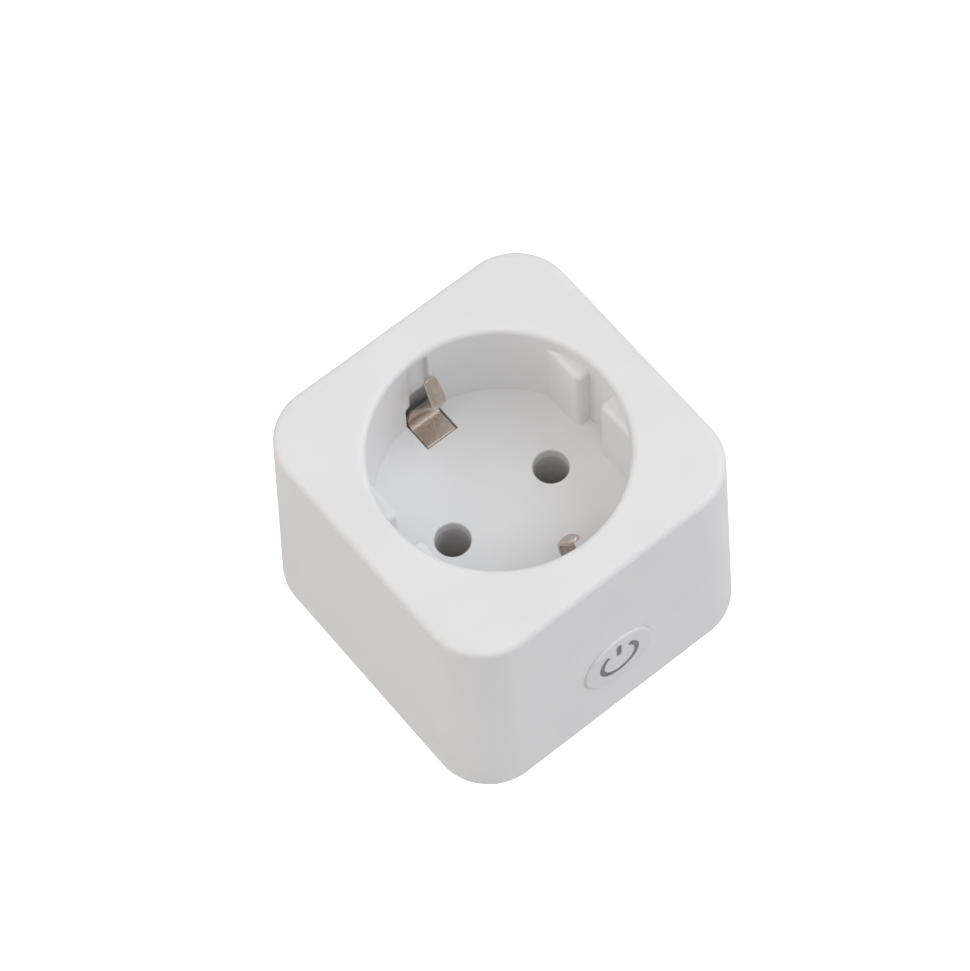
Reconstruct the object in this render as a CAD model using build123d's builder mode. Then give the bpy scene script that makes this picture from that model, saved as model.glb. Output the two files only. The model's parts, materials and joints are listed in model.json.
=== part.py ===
from build123d import *
import os
from math import atan, cos, degrees, radians, sin

# Smart plug: a drafted square body with a Schuko socket in front and a CEE 7/7 plug behind.
# Millimetres. The origin is the centre of the body's back face, the plane that meets the wall
# socket. +Z points out of the wall, the push button is on the -Y side, the pins lie along X.

# Body
FRONT_WIDTH = 52.4
BACK_WIDTH = 55.0
BODY_HEIGHT = 44.7
CORNER_R = 9.25
FRONT_EDGE_R = 1.05
BACK_EDGE_R = 1.0
SIDE_WALL = 1.8
FRONT_WALL = 2.0

# Socket recess
RECESS_R = 19.4
RECESS_DEPTH = 18.1
RIM_R = 0.95
RECESS_WALL = 1.8
FLOOR = 2.3
PIN_PITCH = 19.0
PIN_HOLE_R = 2.8
RIB_FLAT_X = 16.85
RIB_REACH_Y = 9.8
CHANNEL_WIDTH = 5.0
RIB_TOP_DEPTH = 3.1
RIB_CORNER_R = 1.0
RIB_TOP_R = 0.95

# Earth clip pockets in the recess, and the narrower grooves above them
POCKET_WIDTH = 5.86
POCKET_FROM_Y = 14.1
POCKET_TO_Y = 21.4
POCKET_HEIGHT = 5.4
POCKET_SHOULDER_R = 0.9
GROOVE_WIDTH = 4.0
GROOVE_BACK_Y = 20.1
GROOVE_TOP_DEPTH = 1.6
GROOVE_RAMP = 1.4
PAD_WIDTH = 10.0
PAD_TO_Y = 23.2

# Plug behind the body
BARREL_R = 19.0
BARREL_LENGTH = 17.0
BARREL_END_WALL = 2.4
BARREL_CAVITY = (29.2, 29.6)
BARREL_CAVITY_R = 17.1
KEY_FLAT_X = 16.5
KEY_RIDGE_WIDTH = 4.5
PIN_R = 2.4
PIN_LENGTH = 19.0
PIN_TIP_R = 1.9
PIN_NECK_R = 2.15
PIN_FLANGE_R = 3.6
PIN_FLANGE = 1.5
PIN_TAIL_R = 1.8
PIN_RIVET_R = 2.6
PIN_STRAP_X = 13.8
PIN_STRAP_HALF = 3.0
FRENCH_HOLE_Y = 10.0
FRENCH_HOLE_R = 2.6
EARTH_CHANNEL_WIDTH = 7.2
EARTH_CHANNEL_Y = 16.6
EARTH_CHANNEL_TOP = -1.6
EARTH_STRIP_END = -15.6

# Rear cover, screws and boards
COVER = 2.4
COVER_GAP = 0.12
BOSS_AT = 20.6
BOSS_R = 2.8
SCREW_R = 1.28
SCREW_TIP_Z = 10.5
SCREW_HEAD_R = 2.2
SCREW_HEAD_Z = (0.3, 1.5)
SCREW_CROSS = (2.6, 0.55)
SCREW_CROSS_TOP = 1.15
STANDOFF_PITCH = (44.0, 20.0)
STANDOFF_R = 1.4
BOARD_BOTTOM = 3.4
BOARD = 1.6
BOARD_SIZE = 48.4

# Sheet metal and running gaps
STRAP = 0.8
STRIP = 0.7
CLIP = 0.6
STRAP_WIDTH = 5.36
BRACKET_Z = -2.95
BRACKET_HALF = 3.0
FIT = 0.02
SLIDE_GAP = 0.08

# Push button
BUTTON_Z = 16.4
BUTTON_R = 6.4
BUTTON_PROUD = 0.4
SYMBOL_RING_R = 3.78
SYMBOL_STROKE = 0.88
SYMBOL_GAP = 36.0
SYMBOL_RISE = 0.25
BAR_WIDTH = 0.95
BAR_FROM = 1.45
BAR_TO = 4.6

# Heights that follow
FLOOR_TOP = BODY_HEIGHT - RECESS_DEPTH
FLOOR_UNDER = FLOOR_TOP - FLOOR
BOARD_TOP = BOARD_BOTTOM + BOARD
BARREL_END = -BARREL_LENGTH
BARREL_INSIDE = BARREL_END + BARREL_END_WALL
BUSBAR_TOP = BOARD_TOP + STRAP
DRAFT = degrees(atan((BACK_WIDTH - FRONT_WIDTH) / 2 / BODY_HEIGHT))
PIN_X = PIN_PITCH / 2


def width_at(z):
    """Outside width of the drafted body at height z."""
    return BACK_WIDTH + (FRONT_WIDTH - BACK_WIDTH) * z / BODY_HEIGHT


def save(builder, name):
    """Label a finished piece and write it as one STEP file."""
    builder.part.label = name
    export_step(builder.part, f"parts/{name}.step")


def slab(x_range, y_range, z_range, mode=Mode.ADD):
    """A square-edged block between two heights, given by its extents."""
    with BuildSketch(Plane.XY.offset(z_range[0])) as outline:
        with Locations(((x_range[0] + x_range[1]) / 2, (y_range[0] + y_range[1]) / 2)):
            Rectangle(x_range[1] - x_range[0], y_range[1] - y_range[0])
    extrude(outline.sketch, amount=z_range[1] - z_range[0], mode=mode)


def post(x, y, radius, z_range, mode=Mode.ADD):
    """A round post, or a round hole, standing along Z."""
    with BuildSketch(Plane.XY.offset(z_range[0])) as outline:
        with Locations((x, y)):
            Circle(radius)
    extrude(outline.sketch, amount=z_range[1] - z_range[0], mode=mode)


def drafted_block(inset, top_z):
    """The body's drafted square form, inset from its outside, from the back face up to top_z."""
    sections = []
    for z in (0, top_z):
        with BuildSketch(Plane.XY.offset(z)) as outline:
            side = width_at(z) - 2 * inset
            RectangleRounded(side, side, CORNER_R - inset)
        sections.append(outline.sketch)
    loft(sections, ruled=True)


os.makedirs("parts", exist_ok=True)
corners = [(sx * BOSS_AT, sy * BOSS_AT) for sx in (-1, 1) for sy in (-1, 1)]

# The plane of the button: on the drafted -Y face, its normal pointing out of the body.
button_face_y = -width_at(BUTTON_Z) / 2
face_tilt = radians(DRAFT)
button_plane = Plane(
    origin=(0, button_face_y, BUTTON_Z),
    x_dir=(1, 0, 0),
    z_dir=(0, -cos(face_tilt), sin(face_tilt)),
)


# --- Housing ---

with BuildPart() as cavity:
    drafted_block(SIDE_WALL, BODY_HEIGHT - FRONT_WALL)

# One guide rib: a chord of the recess wall, its corner at the channel and its top edges rounded
# where a plug meets them.
with BuildPart() as guide_rib:
    rib_z = (FLOOR_TOP - 0.5, BODY_HEIGHT - RIB_TOP_DEPTH)
    slab((RIB_FLAT_X, RECESS_R + RECESS_WALL / 2), (CHANNEL_WIDTH / 2, RIB_REACH_Y), rib_z)
    channel_edges = guide_rib.edges().filter_by(Axis.Z).sort_by(Axis.Y)[:2]
    fillet(channel_edges.sort_by(Axis.X)[0], RIB_CORNER_R)
    top_edges = guide_rib.faces().sort_by(Axis.Z)[-1].edges()
    open_edges = top_edges.filter_by(lambda e: e.center().X < RECESS_R)
    fillet(open_edges.filter_by(lambda e: e.center().Y < RIB_REACH_Y - 0.1), RIB_TOP_R)

# The clip pocket on the +Y side, with the groove above it that a clip swings back into.
with BuildPart() as clip_pocket:
    pocket_half = POCKET_WIDTH / 2
    pocket_top = FLOOR_TOP + POCKET_HEIGHT
    slab((-pocket_half, pocket_half), (POCKET_FROM_Y, POCKET_TO_Y), (FLOOR_UNDER - 1, pocket_top))
    fillet(clip_pocket.edges().filter_by(Axis.Y).group_by(Axis.Z)[-1], POCKET_SHOULDER_R)
    with BuildSketch(Plane.YZ.offset(-GROOVE_WIDTH / 2)) as groove_side:
        groove_top = BODY_HEIGHT - GROOVE_TOP_DEPTH
        Polygon(
            (RECESS_R - 3, pocket_top - 0.5),
            (POCKET_TO_Y, pocket_top - 0.5),
            (POCKET_TO_Y, pocket_top),
            (GROOVE_BACK_Y, pocket_top + GROOVE_RAMP),
            (GROOVE_BACK_Y, groove_top),
            (RECESS_R - 3, groove_top),
            align=None,
        )
    extrude(amount=GROOVE_WIDTH)

with BuildPart() as front_housing:
    drafted_block(0, BODY_HEIGHT)
    fillet(front_housing.edges().group_by(Axis.Z)[-1], FRONT_EDGE_R)
    fillet(front_housing.edges().group_by(Axis.Z)[0], BACK_EDGE_R)
    add(cavity.part, mode=Mode.SUBTRACT)
    # Recess tub, the pads behind its two clip grooves, and the screw bosses.
    post(0, 0, RECESS_R + RECESS_WALL, (FLOOR_UNDER, BODY_HEIGHT - FRONT_WALL / 2))
    for side in (-1, 1):
        pad_y = sorted((side * (RECESS_R - 2), side * PAD_TO_Y))
        slab((-PAD_WIDTH / 2, PAD_WIDTH / 2), pad_y, (FLOOR_UNDER, BODY_HEIGHT - FRONT_WALL / 2))
    for x, y in corners:
        post(x, y, BOSS_R, (COVER + 0.05, BODY_HEIGHT - FRONT_WALL / 2))
        post(x, y, SCREW_R + FIT, (COVER, SCREW_TIP_Z + 2), mode=Mode.SUBTRACT)
    post(0, 0, RECESS_R, (FLOOR_TOP, BODY_HEIGHT + 1), mode=Mode.SUBTRACT)
    rim = front_housing.edges().filter_by(GeomType.CIRCLE).group_by(Axis.Z)[-1]
    fillet(rim.sort_by(SortBy.RADIUS)[-1], RIM_R)
    for turn in (0, 180):
        for flip in (False, True):
            rib = guide_rib.part.mirror(Plane.XZ) if flip else guide_rib.part
            add(rib.rotate(Axis.Z, turn))
    add(clip_pocket.part, mode=Mode.SUBTRACT)
    add(clip_pocket.part.mirror(Plane.XZ), mode=Mode.SUBTRACT)
    for side in (-1, 1):
        post(side * PIN_X, 0, PIN_HOLE_R, (FLOOR_UNDER - 1, FLOOR_TOP + 1), mode=Mode.SUBTRACT)
    hole_mouths = (
        front_housing.edges()
        .filter_by(GeomType.CIRCLE)
        .filter_by(lambda e: abs(e.radius - PIN_HOLE_R) < 0.01)
        .filter_by(lambda e: abs(e.center().Z - FLOOR_TOP) < 0.01)
    )
    chamfer(hole_mouths, 0.15)
    with BuildSketch(button_plane.offset(2)):
        Circle(BUTTON_R + SLIDE_GAP)
    extrude(amount=-6, mode=Mode.SUBTRACT)
save(front_housing, "front_housing")

with BuildPart() as rear_cover:
    plate_side = BACK_WIDTH - 2 * SIDE_WALL - 2 * COVER_GAP
    with BuildSketch(Plane.XY):
        RectangleRounded(plate_side, plate_side, CORNER_R - SIDE_WALL - COVER_GAP)
    extrude(amount=COVER)
    chamfer(rear_cover.edges().group_by(Axis.Z)[0], 0.25)
    # Plug barrel with its key flats: the ridge runs in the guide channel of a wall socket.
    with BuildSketch(Plane.XY):
        Circle(BARREL_R)
        Rectangle(2 * KEY_FLAT_X, 2 * BARREL_R, mode=Mode.INTERSECT)
    extrude(amount=BARREL_END)
    with BuildSketch(Plane.XY):
        Rectangle(2 * BARREL_R, KEY_RIDGE_WIDTH)
        Circle(BARREL_R, mode=Mode.INTERSECT)
    extrude(amount=BARREL_END)
    fillet(rear_cover.edges().group_by(Axis.Z)[0], 0.8)
    # Side channels for the earth strips.
    for side in (-1, 1):
        half = EARTH_CHANNEL_WIDTH / 2
        channel_y = sorted((side * EARTH_CHANNEL_Y, side * (BARREL_R + 1)))
        slab((-half, half), channel_y, (BARREL_END - 1, EARTH_CHANNEL_TOP), mode=Mode.SUBTRACT)
        slot_y = sorted((side * 12, side * 18))
        slot_z = (BRACKET_Z - 0.05, BRACKET_Z + STRIP + 0.05)
        slot_half = BRACKET_HALF + 2 * FIT
        slab((-slot_half, slot_half), slot_y, slot_z, mode=Mode.SUBTRACT)
    # Hollow barrel, open into the body.
    with BuildSketch(Plane.XY.offset(BARREL_INSIDE)):
        Circle(BARREL_CAVITY_R)
        Rectangle(*BARREL_CAVITY, mode=Mode.INTERSECT)
    extrude(amount=COVER - BARREL_INSIDE, mode=Mode.SUBTRACT)
    for side in (-1, 1):
        post(side * PIN_X, 0, PIN_NECK_R + FIT, (BARREL_END - 1, BARREL_INSIDE), mode=Mode.SUBTRACT)
    post(0, FRENCH_HOLE_Y, FRENCH_HOLE_R, (BARREL_END - 1, BARREL_INSIDE), mode=Mode.SUBTRACT)
    for x, y in corners:
        post(x, y, SCREW_HEAD_R + 0.2, (-0.5, SCREW_HEAD_Z[1]), mode=Mode.SUBTRACT)
        post(x, y, SCREW_R + 0.2, (-0.5, COVER + 0.5), mode=Mode.SUBTRACT)
    with BuildSketch(Plane.XY.offset(COVER)):
        with GridLocations(*STANDOFF_PITCH, 2, 2):
            Circle(STANDOFF_R)
    extrude(amount=BOARD_BOTTOM - COVER)
save(rear_cover, "rear_cover")

with BuildPart() as cover_screws:
    for x, y in corners:
        post(x, y, SCREW_HEAD_R, SCREW_HEAD_Z)
        post(x, y, SCREW_R, (SCREW_HEAD_Z[1], SCREW_TIP_Z))
    fillet(cover_screws.edges().group_by(Axis.Z)[0], 0.4)
    chamfer(cover_screws.edges().group_by(Axis.Z)[-1], 0.6)
    for x, y in corners:
        for size in (SCREW_CROSS, SCREW_CROSS[::-1]):
            x_span = (x - size[0] / 2, x + size[0] / 2)
            y_span = (y - size[1] / 2, y + size[1] / 2)
            slab(x_span, y_span, (0, SCREW_CROSS_TOP), mode=Mode.SUBTRACT)
save(cover_screws, "cover_screws")


# --- Plug pins and their straps ---

for side, where in ((-1, "left"), (1, "right")):
    # Full size outside, necked through the barrel's end wall, flanged and riveted inside.
    with BuildPart() as plug_pin:
        eye_z = BARREL_INSIDE + PIN_FLANGE
        post(side * PIN_X, 0, PIN_R, (BARREL_END - PIN_LENGTH, BARREL_END))
        fillet(plug_pin.edges().group_by(Axis.Z)[0], PIN_TIP_R)
        post(side * PIN_X, 0, PIN_NECK_R, (BARREL_END, BARREL_INSIDE))
        post(side * PIN_X, 0, PIN_FLANGE_R, (BARREL_INSIDE, eye_z))
        post(side * PIN_X, 0, PIN_TAIL_R, (eye_z, eye_z + STRAP))
        post(side * PIN_X, 0, PIN_RIVET_R, (eye_z + STRAP, eye_z + 2 * STRAP))
        fillet(plug_pin.edges().group_by(Axis.Z)[-1], 0.5)
    save(plug_pin, f"plug_pin_{where}")

    # From the riveted tail of the pin up through the main board.
    with BuildPart() as pin_strap:
        eye_x = sorted((side * (PIN_X - PIN_STRAP_HALF), side * PIN_STRAP_X))
        wall_x = sorted((side * (PIN_STRAP_X - STRAP), side * PIN_STRAP_X))
        strap_y = (-PIN_STRAP_HALF, PIN_STRAP_HALF)
        slab(eye_x, strap_y, (eye_z, eye_z + STRAP))
        slab(wall_x, strap_y, (eye_z, BOARD_TOP + 1.2))
        post(side * PIN_X, 0, PIN_TAIL_R + FIT, (eye_z - 1, eye_z + STRAP + 1), mode=Mode.SUBTRACT)
        bend = pin_strap.edges().filter_by(Axis.Y).group_by(Axis.Z)[0]
        fillet(bend.sort_by(Axis.X)[-1 if side > 0 else 0], 0.6)
    save(pin_strap, f"pin_strap_{where}")


# --- Socket contacts ---

SEAM_ANGLE = 50.0

for side, where in ((-1, "left"), (1, "right")):
    # A rolled sleeve: flared at its mouth, narrowest where it grips the pin, with a closing seam.
    with BuildPart() as socket_contact:
        with BuildSketch(Plane.XZ):
            with BuildLine():
                grip_z = (BUSBAR_TOP + FLOOR_UNDER) / 2
                Polyline(
                    (2.62, BUSBAR_TOP),
                    (2.5, grip_z),
                    (2.65, FLOOR_UNDER - 1.6),
                    (2.95, FLOOR_UNDER - FIT),
                    (3.5, FLOOR_UNDER - FIT),
                    (3.2, FLOOR_UNDER - 1.6),
                    (3.05, grip_z),
                    (3.2, BUSBAR_TOP),
                    close=True,
                )
            make_face()
        revolve(axis=Axis.Z)
        seam = Plane.XY.rotated((0, 0, SEAM_ANGLE)).offset(BUSBAR_TOP - 1)
        with BuildSketch(seam):
            with Locations((3, 0)):
                Rectangle(4, 0.3)
        extrude(amount=FLOOR_UNDER, mode=Mode.SUBTRACT)
    socket_contact.part = socket_contact.part.moved(Location((side * PIN_X, 0, 0)))
    save(socket_contact, f"socket_contact_{where}")

# A block on two feet holds both sleeves; its middle is notched clear of the earth link.
CARRIER_X = 15.6
CARRIER_Y = 5.0
CARRIER_Z = (9.5, 20.0)
CARRIER_BORE_R = 3.3
CARRIER_FOOT_X = 13.9
CARRIER_NOTCH = (3.4, 12.5)

with BuildPart() as contact_carrier:
    slab((-CARRIER_X, CARRIER_X), (-CARRIER_Y, CARRIER_Y), CARRIER_Z)
    fillet(contact_carrier.edges().filter_by(Axis.Z), 2)
    beyond_z = (CARRIER_Z[0] - 1, CARRIER_Z[1] + 1)
    for side in (-1, 1):
        post(side * PIN_X, 0, CARRIER_BORE_R, beyond_z, mode=Mode.SUBTRACT)
    notch_x, notch_top = CARRIER_NOTCH
    notch_z = (beyond_z[0], notch_top)
    slab((-notch_x, notch_x), (-CARRIER_Y - 1, CARRIER_Y + 1), notch_z, mode=Mode.SUBTRACT)
    for side in (-1, 1):
        feet_x = sorted((side * CARRIER_FOOT_X, side * CARRIER_X))
        slab(feet_x, (-2, 2), (BUSBAR_TOP + 0.1, CARRIER_Z[0]))
save(contact_carrier, "contact_carrier")

BUSBAR_X = (6.2, 12.5)
BUSBAR_Y = 3.2
SWITCHED_BUSBAR_Y = 8.6

with BuildPart() as neutral_busbar:
    slab((-BUSBAR_X[1], -BUSBAR_X[0]), (-BUSBAR_Y, BUSBAR_Y), (BOARD_TOP, BUSBAR_TOP))
    fillet(neutral_busbar.edges().filter_by(Axis.Z), 0.8)
save(neutral_busbar, "neutral_busbar")

with BuildPart() as switched_busbar:
    slab(BUSBAR_X, (-BUSBAR_Y, SWITCHED_BUSBAR_Y), (BOARD_TOP, BUSBAR_TOP))
    fillet(switched_busbar.edges().filter_by(Axis.Z), 0.8)
save(switched_busbar, "switched_busbar")


# --- Earth path ---

BRIDGE_Y = 19.6
RISER_Y = 14.2
TAB_TOP = FLOOR_TOP - 0.3
TAB_BEND_R = 1.1
HINGE_Z = TAB_TOP + TAB_BEND_R + CLIP / 2 + 0.05
CLIP_Y = BRIDGE_Y - CLIP / 2
RIVET_Y = 4.0
RIVET_R = 1.0
RIVET_HEAD_R = 1.7
RIVET_HEAD = 0.65
LINK_HALF = 2.6
LINK_Y = 6.5
half_strap = STRAP_WIDTH / 2


def bend_edges(part, y, z):
    """The edges along X at this height, at y and at -y: the two ends of a bridge are alike."""
    across = part.edges().filter_by(Axis.X)
    at_height = across.filter_by(lambda e: abs(e.center().Z - z) < 0.01)
    return at_height.filter_by(lambda e: abs(abs(e.center().Y) - y) < 0.01)


# The front bridge: a strap under the recess floor, a riser into each pocket, a tab that lies
# almost level with the floor, and a bend that ends in the socket a clip turns in.
with BuildPart() as earth_bridge:
    across = (-half_strap, half_strap)
    strap_z = (FLOOR_UNDER - STRAP, FLOOR_UNDER - FIT)
    slab(across, (-RISER_Y - CLIP, RISER_Y + CLIP), strap_z)
    for side in (-1, 1):
        riser_y = sorted((side * RISER_Y, side * (RISER_Y + CLIP)))
        tab_y = sorted((side * RISER_Y, side * BRIDGE_Y))
        end_y = sorted((side * (BRIDGE_Y - CLIP), side * BRIDGE_Y))
        slab(across, riser_y, (strap_z[0], TAB_TOP))
        slab(across, tab_y, (TAB_TOP - CLIP, TAB_TOP))
        slab(across, end_y, (TAB_TOP - CLIP, HINGE_Z))
    fillet(bend_edges(earth_bridge, BRIDGE_Y - CLIP, TAB_TOP), TAB_BEND_R)
    fillet(bend_edges(earth_bridge, BRIDGE_Y, TAB_TOP - CLIP), TAB_BEND_R + CLIP)
    fillet(bend_edges(earth_bridge, RISER_Y, TAB_TOP), 0.5)
    fillet(bend_edges(earth_bridge, RISER_Y + CLIP, strap_z[0]), 0.7)
    with BuildSketch(Plane.YZ.offset(-half_strap)):
        with Locations((CLIP_Y, HINGE_Z), (-CLIP_Y, HINGE_Z)):
            Circle(CLIP / 2 + 0.03)
    extrude(amount=STRAP_WIDTH, mode=Mode.SUBTRACT)
    post(0, RIVET_Y, RIVET_R + FIT, (FLOOR_UNDER - 2, FLOOR_UNDER), mode=Mode.SUBTRACT)
save(earth_bridge, "earth_bridge")

# A contact clip in side view: it leans in to its contact point and curls out again to its tip.
# The two clips are set slightly differently, as bent sheet metal is. The last two points of each
# are its contact point and its tip. Its root is rounded and turns in the end of the bridge.
CLIP_BEND_Z = 29.6
CLIP_ENDS = {"back": ((14.5, 37.7), (16.5, 42.6)), "front": ((14.85, 37.1), (17.3, 41.4))}
# The right half of a clip's front view: full width at the root, tapering to a narrow finger.
CLIP_FRONT = [(half_strap, HINGE_Z - 0.7), (half_strap, 27.9), (1.3, 31.4), (1.2, 39.5)]

for where, side in (("back", 1), ("front", -1)):
    contact, tip = CLIP_ENDS[where]
    with BuildPart() as earth_clip:
        clip_side = [(CLIP_Y, HINGE_Z), (CLIP_Y, CLIP_BEND_Z), contact, tip]
        with BuildSketch(Plane.YZ.offset(-half_strap)):
            with BuildLine():
                FilletPolyline(*clip_side, radius=1.5)
            trace(line_width=CLIP)
            with Locations(clip_side[0], clip_side[-1]):
                Circle(CLIP / 2)
        extrude(amount=STRAP_WIDTH)
        with BuildSketch(Plane.XZ) as clip_front:
            right_half = [*CLIP_FRONT, (0.75, tip[1] + CLIP / 2)]
            with BuildLine():
                Polyline(*right_half, *[(-x, z) for x, z in reversed(right_half)], close=True)
            make_face()
            fillet(clip_front.vertices().group_by(Axis.Z)[-1], 0.7)
        extrude(amount=-40, mode=Mode.INTERSECT)
        if side < 0:
            mirror(about=Plane.XZ, mode=Mode.REPLACE)
    save(earth_clip, f"earth_clip_{where}")

# The plug's own earth strips: one bracket across the barrel, its legs in the side channels.
with BuildPart() as rear_earth_bracket:
    leg_out = EARTH_CHANNEL_Y + STRIP
    across = (-BRACKET_HALF, BRACKET_HALF)
    slab(across, (-leg_out, leg_out), (BRACKET_Z, BRACKET_Z + STRIP))
    for side in (-1, 1):
        leg_y = sorted((side * EARTH_CHANNEL_Y, side * leg_out))
        slab(across, leg_y, (EARTH_STRIP_END, BRACKET_Z + STRIP))
    fillet(rear_earth_bracket.edges().filter_by(Axis.X).group_by(Axis.Z)[-1], 0.5)
    fillet(rear_earth_bracket.edges().filter_by(Axis.Y).group_by(Axis.Z)[0], 1.2)
    post(0, RIVET_Y, RIVET_R + FIT, (-4, 0), mode=Mode.SUBTRACT)
save(rear_earth_bracket, "rear_earth_bracket")

# The contact for a wall socket's earth pin: a closed cup with four petals, waisted to grip the pin.
SLEEVE_MOUTH_R = 2.9
SLEEVE_WAIST_R = 2.44
SLEEVE_WALL = 0.4
SLEEVE_Z = (BARREL_INSIDE, -12.8, -9.4, -6.2)

with BuildPart() as french_earth_sleeve:
    radii = (SLEEVE_MOUTH_R, SLEEVE_MOUTH_R, SLEEVE_WAIST_R, SLEEVE_MOUTH_R)
    inside = [*zip(radii, SLEEVE_Z), (SLEEVE_MOUTH_R, BRACKET_Z - 0.6), (0, BRACKET_Z - 0.6)]
    outside = [(0, BRACKET_Z), (SLEEVE_MOUTH_R + SLEEVE_WALL, BRACKET_Z)]
    outside += [(r + SLEEVE_WALL, z) for r, z in reversed([*zip(radii, SLEEVE_Z)])]
    with BuildSketch(Plane.XZ.offset(-FRENCH_HOLE_Y)):
        with BuildLine():
            Polyline(*inside, *outside, close=True)
        make_face()
    revolve(axis=Axis((0, FRENCH_HOLE_Y, 0), (0, 0, 1)))
    slit_z = (BARREL_INSIDE - 1, SLEEVE_Z[3] + 1)
    for size in ((0.5, 8), (8, 0.5)):
        slit_x = (-size[0] / 2, size[0] / 2)
        slit_y = (FRENCH_HOLE_Y - size[1] / 2, FRENCH_HOLE_Y + size[1] / 2)
        slab(slit_x, slit_y, slit_z, mode=Mode.SUBTRACT)
save(french_earth_sleeve, "french_earth_sleeve")

# A Z-bent link joins the two earth parts; one rivet holds each of its feet.
link_feet = ((BRACKET_Z + STRIP, BRACKET_Z + 2 * STRIP), (FLOOR_UNDER - STRAP - STRIP, FLOOR_UNDER - STRAP))
with BuildPart() as earth_link:
    link_x = (-LINK_HALF, LINK_HALF)
    for foot in link_feet:
        slab(link_x, (RIVET_Y - 2.2, LINK_Y + STRIP), foot)
    slab(link_x, (LINK_Y, LINK_Y + STRIP), (link_feet[0][0], link_feet[1][1]))
    for foot in link_feet:
        post(0, RIVET_Y, RIVET_R + FIT, (foot[0] - 0.1, foot[1] + 0.1), mode=Mode.SUBTRACT)
save(earth_link, "earth_link")

with BuildPart() as earth_rivets:
    lower, upper = link_feet
    post(0, RIVET_Y, RIVET_R, (BRACKET_Z - RIVET_HEAD, lower[1] + RIVET_HEAD))
    post(0, RIVET_Y, RIVET_HEAD_R, (BRACKET_Z - RIVET_HEAD, BRACKET_Z - FIT))
    post(0, RIVET_Y, RIVET_HEAD_R, (lower[1] + FIT, lower[1] + RIVET_HEAD))
    post(0, RIVET_Y, RIVET_R, (upper[0] - RIVET_HEAD, FLOOR_UNDER - FIT))
    post(0, RIVET_Y, RIVET_HEAD_R, (upper[0] - RIVET_HEAD, upper[0] - FIT))
save(earth_rivets, "earth_rivets")


# --- Push button ---

def on_button(offset_out):
    """A sketch plane parallel to the button's face, offset_out beyond the body's outside."""
    return button_plane.offset(offset_out)


def power_ring(grow):
    """The open ring of the power symbol, its stroke and ends grown by grow."""
    with Locations((0, SYMBOL_RISE)):
        Circle(SYMBOL_RING_R + grow)
        Circle(SYMBOL_RING_R - SYMBOL_STROKE - grow, mode=Mode.SUBTRACT)
    reach = 3 * SYMBOL_RING_R
    spread = reach * sin(radians(SYMBOL_GAP))
    apex = (0, SYMBOL_RISE + grow / sin(radians(SYMBOL_GAP)))
    rise = apex[1] + reach * cos(radians(SYMBOL_GAP))
    Polygon(apex, (spread, rise), (-spread, rise), align=None, mode=Mode.SUBTRACT)


def power_bar(grow):
    """The round-ended bar of the power symbol, grown by grow all round."""
    with Locations((0, (BAR_FROM + BAR_TO) / 2)):
        SlotOverall(BAR_TO - BAR_FROM + 2 * grow, BAR_WIDTH + 2 * grow, rotation=90)


CAP_FACE = 1.0
CAP_BACK = BUTTON_PROUD - CAP_FACE - 0.4
FLANGE_OUT = -SIDE_WALL - 0.06
FLANGE_IN = FLANGE_OUT - 0.8

with BuildPart() as button_cap:
    with BuildSketch(on_button(CAP_BACK)):
        Circle(BUTTON_R)
    extrude(amount=BUTTON_PROUD - CAP_BACK)
    fillet(button_cap.faces().sort_by(Axis.Y)[0].edges(), 0.35)
    with BuildSketch(on_button(FLANGE_IN)):
        Circle(BUTTON_R)
    extrude(amount=CAP_BACK - FLANGE_IN)
    with BuildSketch(on_button(FLANGE_IN)):
        Circle(BUTTON_R + 0.9)
    extrude(amount=FLANGE_OUT - FLANGE_IN)
    with BuildSketch(on_button(FLANGE_IN)):
        Circle(BUTTON_R - 1.0)
    extrude(amount=BUTTON_PROUD - CAP_FACE - FLANGE_IN, mode=Mode.SUBTRACT)
    with BuildSketch(on_button(CAP_BACK)):
        power_ring(FIT / 2)
        power_bar(FIT / 2)
    extrude(amount=3, mode=Mode.SUBTRACT)
save(button_cap, "button_cap")

# The clear guide behind the cap: the symbol stands on it, and its stem presses the switch.
SWITCH_BODY = (6.0, 6.0, 3.4)
SWITCH_BOARD_Y = -19.6
SWITCH_BOARD = 1.0
PLUNGER_R = 1.75
SWITCH_FRONT_Y = SWITCH_BOARD_Y - SWITCH_BOARD - SWITCH_BODY[2]
PLUNGER_FRONT_Y = SWITCH_FRONT_Y - 0.9
GUIDE_FACE = BUTTON_PROUD - CAP_FACE - FIT
GUIDE_BACK = GUIDE_FACE - 0.6
stem_reach = button_face_y + abs(GUIDE_BACK) - (PLUNGER_FRONT_Y - 0.06)

with BuildPart() as button_light_guide:
    with BuildSketch(on_button(GUIDE_BACK)):
        Circle(BUTTON_R - 1.0 - FIT)
    extrude(amount=GUIDE_FACE - GUIDE_BACK)
    with BuildSketch(on_button(GUIDE_FACE)):
        power_ring(-FIT / 2)
        power_bar(-FIT / 2)
    extrude(amount=BUTTON_PROUD - GUIDE_FACE)
    with BuildSketch(on_button(GUIDE_BACK + stem_reach)):
        Circle(1.4)
    extrude(amount=-stem_reach)
save(button_light_guide, "button_light_guide")

with BuildPart() as tact_switch_body:
    with BuildSketch(Plane.XZ.offset(-SWITCH_BOARD_Y + SWITCH_BOARD)):
        with Locations((0, BUTTON_Z)):
            Rectangle(SWITCH_BODY[0], SWITCH_BODY[1])
    extrude(amount=SWITCH_BODY[2])
    chamfer(tact_switch_body.edges().filter_by(Axis.Y), 0.4)
    with BuildSketch(Plane.XZ.offset(-SWITCH_FRONT_Y)):
        with Locations((0, BUTTON_Z)):
            Circle(PLUNGER_R + 0.05)
    extrude(amount=-2.2, mode=Mode.SUBTRACT)
save(tact_switch_body, "tact_switch_body")

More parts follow.
